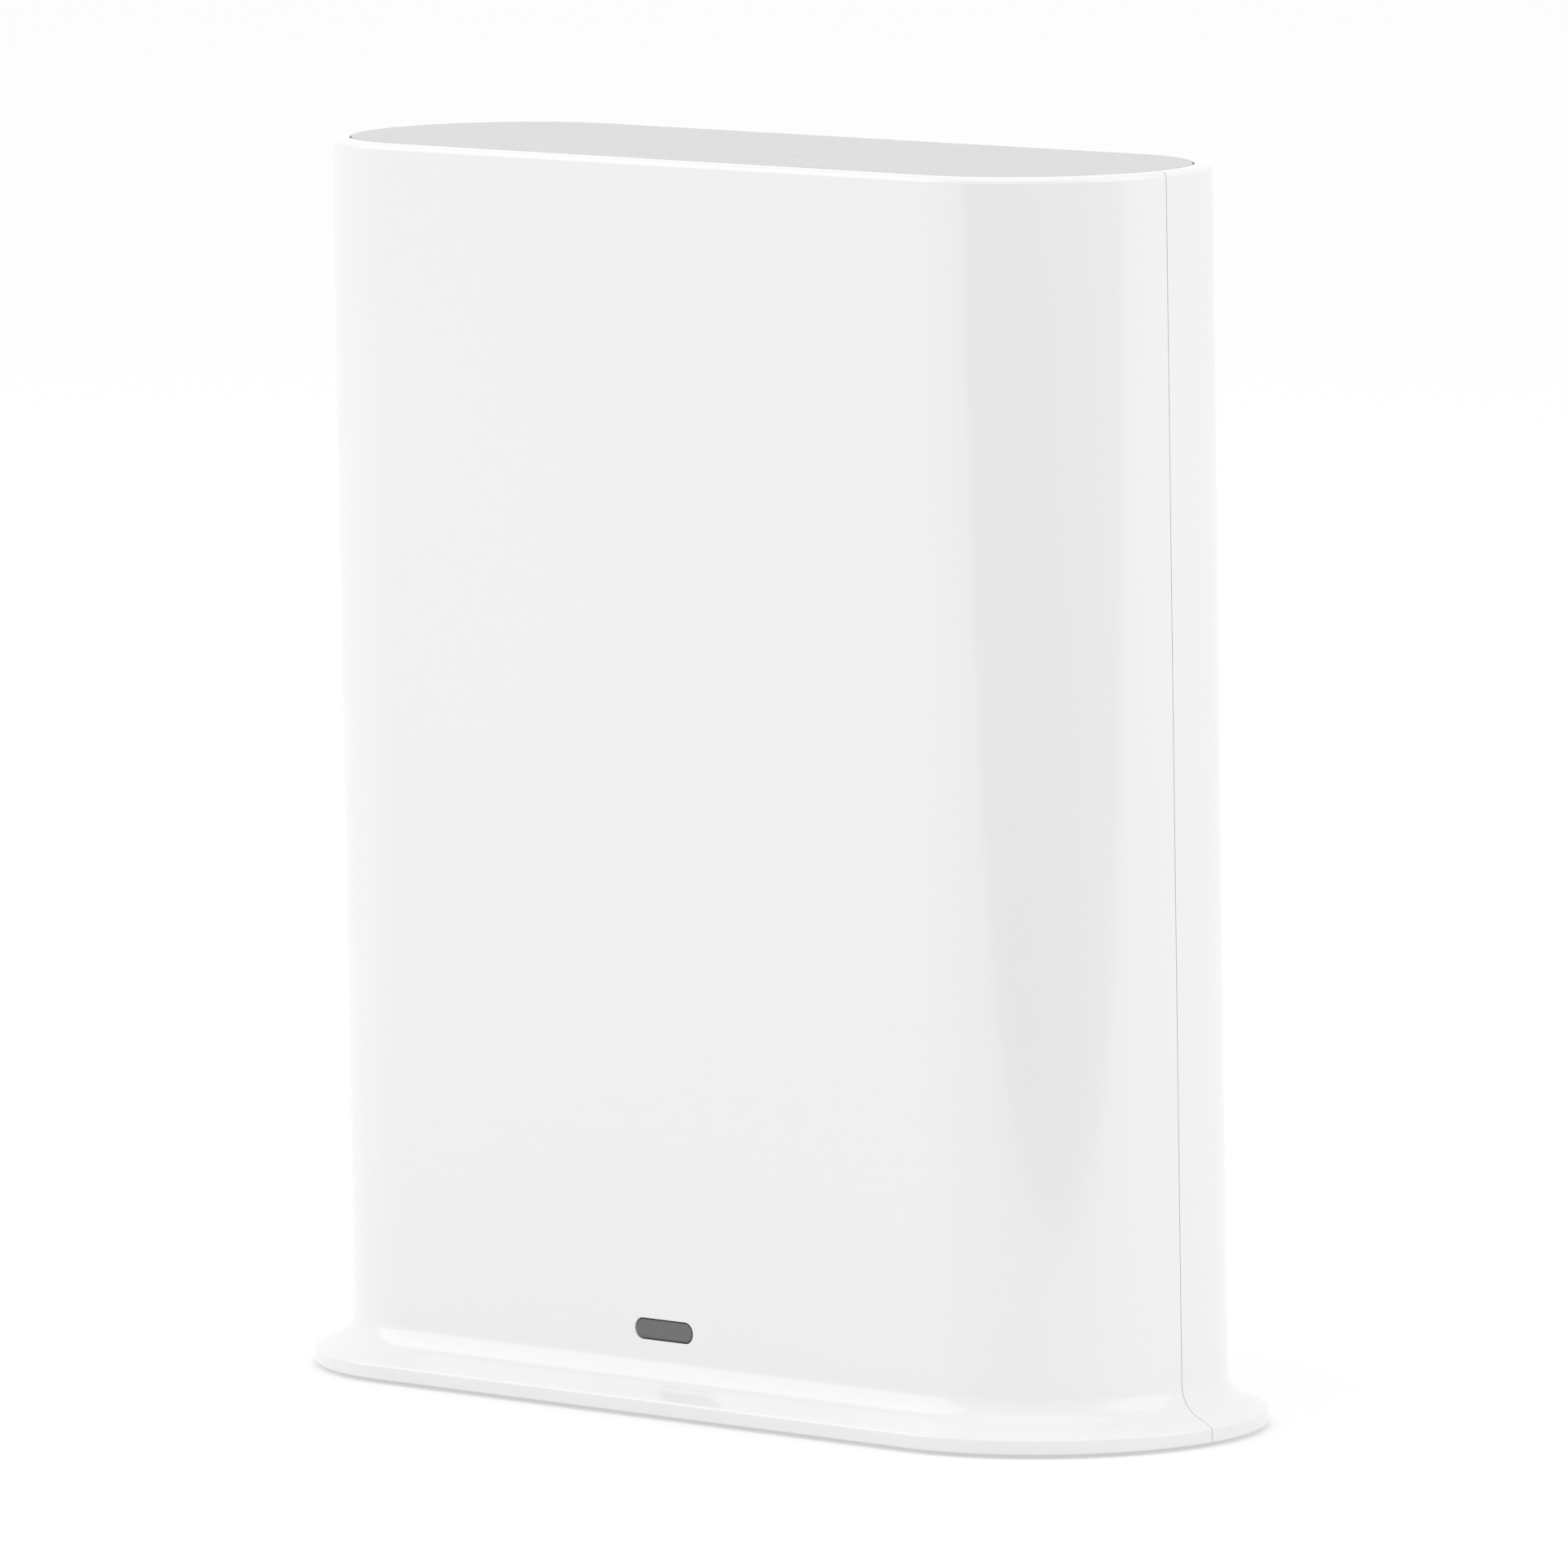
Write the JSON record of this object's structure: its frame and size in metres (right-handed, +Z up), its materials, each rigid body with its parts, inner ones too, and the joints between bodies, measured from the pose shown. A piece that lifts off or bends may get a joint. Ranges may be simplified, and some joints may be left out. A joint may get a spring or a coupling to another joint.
{
  "type": "security camera base station",
  "caption": "Upright hub for wireless security cameras: white half-round-ended tower on a flared foot, with an inset grey top, a status window and a rear connector bay.",
  "frame": {"origin": "on the table, under the middle of the foot", "axes": "+Z up, -Y out of the front face with the status window, +Y out of the rear face with the connectors, +X to the viewer's right in front"},
  "size_m": [0.1576, 0.0578, 0.17],
  "materials": {
    "casing": "glossy, smooth",
    "cap": "fine-grained satin",
    "cover": "fine matt texture",
    "tray": "fine matt texture",
    "button": "satin gloss",
    "lens": "smoked, glossy",
    "guide": "clear, frosted at its ends",
    "lamp": "moulded resin",
    "pads": "matt",
    "screws": "plated",
    "board": "solder mask, satin",
    "connector": "moulded, matt",
    "sheet": "tinned sheet",
    "gold": "gold plated",
    "tongue": "moulded, matt",
    "chips": "moulded, matt",
    "spreader": "pressed sheet, clear anodised",
    "gap_pad": "soft, matt",
    "spacers": "turned",
    "cans": "bright",
    "ferrite": "sintered, matt",
    "leads": "coated, satin",
    "antenna": "solder mask, satin"
  },
  "bodies": {
    "casing": {"front_shell": "casing", "rear_shell": "casing", "top_cap": "cap", "bottom_cover": "cover", "foot_pads": "pads", "cover_screws": "screws", "status_lens": "lens", "light_guide": "guide", "status_lamp": "lamp", "port_tray": "tray", "tray_screws": "screws", "main_board": "board", "board_screws": "screws", "ethernet_jack": "connector", "ethernet_contacts": "gold", "ethernet_lamps": "lamp", "usb_shell": "sheet", "usb_tongue": "tongue", "usb_contacts": "gold", "power_jack": "connector", "power_pin": "sheet", "sync_switch": "connector", "reset_switch": "connector", "processor": "chips", "thermal_pad": "gap_pad", "memory_chips": "chips", "flash_chip": "chips", "clock_crystal": "sheet", "heat_spreader": "spreader", "spreader_spacers": "spacers", "spreader_screws": "screws", "radio_chips": "chips", "left_radio_shield": "sheet", "right_radio_shield": "sheet", "left_antenna": "antenna", "right_antenna": "antenna", "left_antenna_lead": "leads", "right_antenna_lead": "leads", "antenna_sockets": "gold", "antenna_plugs": "gold", "network_transformer": "chips", "power_inductors": "ferrite", "power_capacitors": "cans", "transformer_legs": "sheet"},
    "sync_button": {"sync_button": "button"},
    "sync_plunger": {"sync_plunger": "connector"},
    "reset_plunger": {"reset_plunger": "connector"}
  },
  "joints": [
    {"name": "sync_press", "type": "slide", "parent": "casing", "child": "sync_button", "axis": [0, -1, 0], "range_m": [0, 0.0003], "stiffness_N_per_m": 5000},
    {"name": "sync_click", "type": "slide", "parent": "casing", "child": "sync_plunger", "axis": [0, -1, 0], "range_m": [0, 0.0003]},
    {"name": "reset_click", "type": "slide", "parent": "casing", "child": "reset_plunger", "axis": [0, -1, 0], "range_m": [0, 0.00025], "stiffness_N_per_m": 6000}
  ],
  "couplings": [
    {"joint": "sync_click", "follows": "sync_press", "ratio": 1}
  ]
}
